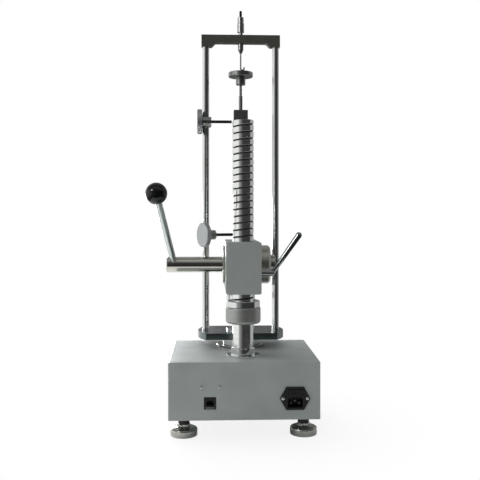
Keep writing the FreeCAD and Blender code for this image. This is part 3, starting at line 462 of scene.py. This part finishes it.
def add_block(form, size, at, bevel, lie=None):
    """Adds a block with rounded edges to a form, centred on a place, in mm."""
    block = bmesh.new()
    bmesh.ops.create_cube(block, size=1.0)
    bmesh.ops.scale(block, vec=size, verts=block.verts)
    bmesh.ops.bevel(block, geom=block.edges[:], offset=bevel, segments=3, affect="EDGES",
                    profile=0.5)
    place = Matrix.Translation(Vector(at)) @ (lie or Matrix())
    corner = {v: form.verts.new((place @ v.co) * MM) for v in block.verts}
    for face in block.faces:
        form.faces.new([corner[v] for v in face.verts])
    block.free()


def make_piece(name, form, material, body, slot, *nodes):
    """Turns a form into a piece that rides on a body, takes a finish and stands for nodes. The slot
    is not used.
    """
    sharp_from = math.radians(35)
    mesh = bpy.data.meshes.new(name)
    form.to_mesh(mesh)
    form.free()
    mesh.shade_smooth()
    mesh.set_sharp_from_angle(angle=sharp_from)
    mesh.materials.append(material)
    piece = bpy.data.objects.new(name, mesh)
    bpy.context.scene.collection.objects.link(piece)
    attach(piece, body)
    if nodes:
        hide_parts(*nodes)


def levelling_foot(number):
    """Pad, threaded M10 stud and hexagon of a foot, and the lock nut between it and the base."""
    node, body = f"levelling_foot_{number}", f"foot_{number}"
    low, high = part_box(node)
    at = [(a + b) / 2 / MM for a, b in zip(low, high)][:2] + [0.0]
    form = bmesh.new()

    # pad, from the hollow of its underside out and up to the stud
    add_round(form, [
        (0.8, 16.5), (0.0, 17.3), (0.0, 21.0), (0.4, 22.0), (1.4, 22.5), (9.6, 22.5),
        (11.4, 22.3), (12.4, 21.5), (12.8, 20.2), (12.9, 13.4), (13.4, 12.0), (14.3, 10.4)],
        at, around=64)

    # stud, a fifth of a turn of its thread from row to row
    radius, turns, step = 5.0, thread(pitch=1.5, depth=0.14), 0.3
    stud = [(14.4 + step * i, radius, turns) for i in range(89)]
    add_round(form, [(14.2, radius)] + stud + [(41.4, 4.2)], at, around=24)

    # hexagon, chamfered at both ends
    six = corners(6)
    add_round(form, [(14.4, 9.5), (14.5, 9.6), (15.0, 11.0, six), (19.0, 11.0, six),
                     (19.5, 9.6), (19.6, 9.4)], at)
    make_piece(f"foot_{number}_pad", form, foot_nickel, body, "foot_steel", node)

    # lock nut with a washer face at its top
    form = bmesh.new()
    add_round(form, [(19.7, 9.0), (20.2, 9.5), (27.4, 9.5), (27.8, 9.2), (28.2, 10.2),
                     (28.6, 10.5), (30.4, 10.5), (30.9, 10.0)], at)
    make_piece(f"foot_{number}_lock_nut", form, black_steel, body, "foot_steel", node)


def screw_head(form, at, radius, height, arm, width):
    """Pan head in the rear face, with a cross recess of an arm's length and width, on its shank."""
    shank, in_hole = 1.45, -8.0
    star = cross(arm, width)
    add_round(form, [
        (in_hole, shank), (0.0, shank), (0.0, radius * 0.97), (height * 0.3, radius),
        (height * 0.62, radius * 0.94), (height * 0.9, radius * 0.74), (height, radius * 0.56),
        (height, 1.0, star), (height * 0.55, 0.82, star), (height * 0.35, 0.3, star)],
        at, OUT_OF_REAR)


def small_screws():
    """Screws in the rear wall, in the mains inlet and in the lower platen."""
    form = bmesh.new()
    for x, z in WALL_SCREWS:
        screw_head(form, (x, REAR_FACE, z), radius=3.1, height=2.4, arm=1.7, width=0.8)
    make_piece("rear_wall_screws", form, bright_zinc, "base", "screw_zinc", "back_screws")

    flange, to_screw = 2.6, 20.0
    form = bmesh.new()
    for x in (INLET[0] - to_screw, INLET[0] + to_screw):
        screw_head(form, (x, REAR_FACE - flange, INLET[1]), radius=2.7, height=1.5, arm=1.4,
                   width=0.6)
    make_piece("inlet_flange_screws", form, bright_zinc, "base", "screw_zinc", "inlet_screws")

    circle, six = 22.0, corners(6)
    form = bmesh.new()
    for i in range(6):
        x, y = (circle * wave(math.radians(60 * i)) for wave in (math.cos, math.sin))
        add_round(form, [(150.0, 2.7), (150.3, 3.0), (155.6, 3.0), (156.0, 2.7),
                         (156.0, 1.5, six), (153.6, 1.45, six)],
                  (LOAD[0] + x, LOAD[1] + y, 0.0), around=24)
    make_piece("socket_head_screws", form, black_steel, "base", "screw_zinc", "plate_screws")


def inlet_contacts():
    """Three flat pins of the mains inlet, with rounded tips."""
    size, tip, middle = (2.0, 11.5, 4.0), 0.7, REAR_FACE + 8.25
    form = bmesh.new()
    for x, z in ((-7.0, -8.4), (0.0, -4.4), (7.0, -8.4)):
        add_block(form, size, (INLET[0] + x, middle, INLET[1] + z), tip)
    make_piece("inlet_contacts", form, shaded_pin_metal, "base", "pin_metal", "inlet_pins")


def port_shell():
    """Plated lip under the opening of the data port, and the row of contacts inside it."""
    x, z = PORT
    lip, lip_edge = (13.6, 0.5, 2.0), 0.2
    contact, contact_edge, first, pitch = (0.45, 9.0, 0.45), 0.1, x - 4.46, 1.27
    form = bmesh.new()
    add_block(form, lip, (x, REAR_FACE - 0.8, z - 7.0), lip_edge)
    for i in range(8):
        add_block(form, contact, (first + pitch * i, REAR_FACE + 6.0, z - 3.6), contact_edge)
    make_piece("port_contacts", form, plate_steel, "base", "pin_metal")


def key_caps():
    """Rounded caps of the eight keys on the sloping panel, in two rows of four."""
    size, edge = (16.0, 12.0, 1.2), 0.55
    first_across, first_up, lift = -3.5, -10.5, 0.8
    pitch_across, pitch_up = 27, 20
    lie = Matrix((PANEL_ACROSS, PANEL_UP, PANEL_OUT)).transposed().to_4x4()
    form = bmesh.new()
    for column in range(4):
        for row in range(2):
            spot = Vector((first_across + pitch_across * column, first_up + pitch_up * row, lift))
            add_block(form, size, Vector(PANEL) + lie @ spot, edge, lie)
    make_piece("key_caps", form, cap_polyamide, "base", "key_film")


def hook_thread():
    """M5 stud of the hook, threaded over its upper end; the pitch is the real 0.8 mm."""
    radius, turns, step = 2.48, thread(pitch=0.8, depth=0.17), 0.1
    threaded = [(724.6 + step * i, radius, turns) for i in range(228)]
    form = bmesh.new()
    add_round(form, [(680.0, 2.4), (680.0, radius), (724.5, radius)] + threaded
              + [(747.6, 1.9), (748.0, 1.5)], LOAD, around=20)
    make_piece("hook_thread", form, black_steel, "hook", "black_steel", "hook_stud")


def studio_floor():
    """Square table top under the machine, which ends where it has faded into the backdrop."""
    half = 0.48
    mesh = bpy.data.meshes.new("table_top")
    mesh.from_pydata([(-half, -half, 0), (half, -half, 0), (half, half, 0), (-half, half, 0)],
                     [], [(0, 1, 2, 3)])
    floor = bpy.data.objects.new("table_top", mesh)
    bpy.context.scene.collection.objects.link(floor)
    mesh.materials.append(table_white)


def softbox(name, size, place, target, watts, mirrored=True, lights=True, spread=180):
    """Rectangular lamp that points at a place, in metres.

    Its light is held inside spread degrees. It may be left out of what polished surfaces mirror,
    or mirrored without lighting what is matt.
    """
    light = bpy.data.lights.new(name, "AREA")
    light.shape = "RECTANGLE"
    light.size, light.size_y = size
    light.energy = watts
    light.spread = math.radians(spread)
    lamp = bpy.data.objects.new(name, light)
    lamp.location = place
    lamp.rotation_euler = (Vector(target) - Vector(place)).to_track_quat("-Z", "Y").to_euler()
    lamp.visible_glossy = mirrored
    lamp.visible_diffuse = lights
    lamp.visible_camera = False
    bpy.context.scene.collection.objects.link(lamp)


def tent_brightness(tree):
    """What polished metal mirrors: white at the left, grey behind, above and at the right, dark
    round the camera.

    The angle turn goes from the camera's side to the right, and rise from there up over the top,
    in degrees; height is the upward part of a direction of length 1.
    """
    split = add(tree, "SeparateXYZ", {0: add(tree, "TexCoord", {}, "Generated")}, None).outputs
    height = split[2]
    back = add(tree, "Math", {0: split[1], 1: -1.0}, operation="MULTIPLY")
    turn = add(tree, "Math", {0: split[0], 1: back}, operation="ARCTAN2")
    turn = add(tree, "Math", {0: turn}, operation="DEGREES")
    rise = add(tree, "Math", {0: height, 1: back}, operation="ARCTAN2")
    rise = add(tree, "Math", {0: rise}, operation="DEGREES")

    # each part goes from one level to another between two angles or heights
    parts = {
        "left": (turn, -58, -42, 0.75, 0.0),
        "left_edge": (turn, -45, -6, 0.4, 0.0),
        "behind_left": (turn, -172, -160, -0.7, 0.0),
        "right": (turn, 80, 88, 0.05, 0.55),
        "behind_right": (turn, 140, 150, 0.0, -0.3),
        "off_the_floor": (height, -0.5, -0.2, 0.25, 1.0),
        "over_the_camera": (rise, 18, 60, 0.05, 0.6),
        "before_the_top": (rise, 82, 86, 1.0, 0.1),
        "past_the_top": (rise, 97, 102, 0.0, 0.45),
        "upper_half": (height, 0.3, 0.5, 0.0, 1.0),
    }
    level = {}
    for name, (along, begin, end, low, high) in parts.items():
        level[name] = add(tree, "MapRange", {"Value": along, "From Min": begin, "From Max": end,
                                             "To Min": low, "To Max": high})
    around = level["left"]
    for name in ("left_edge", "behind_left", "right", "behind_right"):
        around = add(tree, "Math", {0: around, 1: level[name]}, operation="ADD")
    around = add(tree, "Math", {0: around, 1: level["off_the_floor"]}, operation="MULTIPLY")
    front = add(tree, "Math", {0: level["over_the_camera"], 1: level["before_the_top"]},
                operation="MULTIPLY")
    over = add(tree, "Math", {0: front, 1: level["past_the_top"]}, operation="ADD")
    return add(tree, "Mix", {SHARE: level["upper_half"], 2: around, 3: over})


def studio_light():
    """A light tent with even light from all round, and four lamps.

    The overhead and left ones shape the enamel, the rear left one brightens the base's top, and
    the last one shows only as a highlight in the ball and on rounded edges.
    """
    white, pale_grey = (1, 1, 1, 1), (0.55, 0.56, 0.56, 1)
    world = bpy.data.worlds.new("studio")
    bpy.context.scene.world = world
    world.use_nodes = True
    tree = world.node_tree
    tree.nodes.clear()
    ray = add(tree, "LightPath", {}, None).outputs
    mirrored = add(tree, "Background", {"Strength": tent_brightness(tree)})
    even = add(tree, "Background", {"Color": pale_grey, "Strength": 1.0})
    backdrop = add(tree, "Background", {"Color": white, "Strength": 1.0})
    bent = add(tree, "Math", {0: ray["Is Glossy Ray"], 1: ray["Is Transmission Ray"]},
               operation="MAXIMUM")
    lit = add(tree, "MixShader", {0: bent, 1: even, 2: mirrored})
    shown = add(tree, "MixShader", {0: ray["Is Camera Ray"], 1: lit, 2: backdrop})
    add(tree, "OutputWorld", {"Surface": shown}, None)
    softbox("overhead_softbox", size=(1.2, 1.0), place=(-0.35, 0.7, 1.6),
            target=(0.0, 0.0, 0.1), watts=11, mirrored=False)
    softbox("left_softbox", size=(0.5, 0.8), place=(-0.8, 0.1, 0.62),
            target=(0.0, 0.0, 0.15), watts=4, mirrored=False)
    softbox("rear_left_softbox", size=(0.7, 0.2), place=(-0.55, 1.3, 0.34),
            target=(-0.1, 0.0, 0.12), watts=1.0, spread=36)
    softbox("highlight_softbox", size=(0.8, 0.5), place=(-1.68, -1.43, 1.67),
            target=(-0.12, -0.11, 0.4), watts=12, lights=False)


def camera():
    """Camera where the photograph's perspective puts it: 359 mm up and turned to the right."""
    place, turned_right = (-0.03295, -1.24575, 0.359), math.radians(2.243)
    data = bpy.data.cameras.new("rear_view")
    data.sensor_width = 36.0
    data.lens = 51.75
    data.shift_y = -0.0427
    view = bpy.data.objects.new("rear_view", data)
    view.location = place
    view.rotation_euler = (math.pi / 2, 0, -turned_right)
    bpy.context.scene.collection.objects.link(view)
    bpy.context.scene.camera = view


for number in (1, 2, 3, 4):
    levelling_foot(number)
small_screws()
inlet_contacts()
port_shell()
key_caps()
hook_thread()
dress_nodes()
studio_floor()
studio_light()
camera()
bpy.context.scene.view_settings.view_transform = "Standard"
